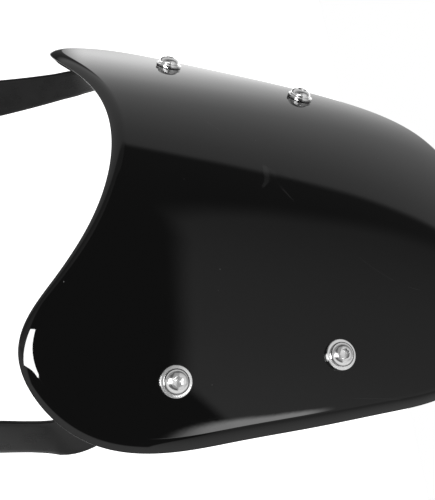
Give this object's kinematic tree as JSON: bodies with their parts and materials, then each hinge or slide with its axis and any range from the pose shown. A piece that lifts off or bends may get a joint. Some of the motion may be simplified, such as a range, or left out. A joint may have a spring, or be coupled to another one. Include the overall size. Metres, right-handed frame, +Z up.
{
  "type": "motorcycle windshield screen",
  "caption": "Curved gloss black headlight fly screen with a concave lower cut-out, held by button-head screws on two twisted steel straps that tilt about their lower eyes.",
  "frame": {"origin": "middle of the tilt axis, between the lower eyes of the two straps, on the axis of the headlight's side bolts", "axes": "+Z up as on the motorcycle, front facing -Y, +X to the rider's left; the screen is symmetric about X = 0"},
  "size_m": [0.238, 0.1191, 0.2952],
  "materials": {
    "gloss_black_plastic": "high gloss thermoformed ABS, rolled edge",
    "satin_black_steel": "satin black powder coat",
    "bright_steel": "polished stainless steel",
    "black_rubber": "matt moulded rubber"
  },
  "bodies": {
    "headlight_mounting": {"pivot_bolt_left": "bright_steel", "pivot_washer_left": "bright_steel", "pivot_spacer_left": "satin_black_steel", "pivot_bolt_right": "bright_steel", "pivot_washer_right": "bright_steel", "pivot_spacer_right": "satin_black_steel"},
    "screen": {"screen_shell": "gloss_black_plastic", "strap_left": "satin_black_steel", "strap_right": "satin_black_steel", "spacer_lower_left": "black_rubber", "washer_lower_left": "bright_steel", "back_washer_lower_left": "bright_steel", "screw_lower_left": "bright_steel", "nut_lower_left": "bright_steel", "spacer_lower_right": "black_rubber", "washer_lower_right": "bright_steel", "back_washer_lower_right": "bright_steel", "screw_lower_right": "bright_steel", "nut_lower_right": "bright_steel", "spacer_upper_left": "black_rubber", "washer_upper_left": "bright_steel", "back_washer_upper_left": "bright_steel", "screw_upper_left": "bright_steel", "nut_upper_left": "bright_steel", "spacer_upper_right": "black_rubber", "washer_upper_right": "bright_steel", "back_washer_upper_right": "bright_steel", "screw_upper_right": "bright_steel", "nut_upper_right": "bright_steel"}
  },
  "joints": [
    {"name": "screen_tilt", "type": "hinge", "parent": "headlight_mounting", "child": "screen", "pos_m": [0, 0, 0], "axis": [1, 0, 0], "range_deg": [-20, 20]}
  ]
}
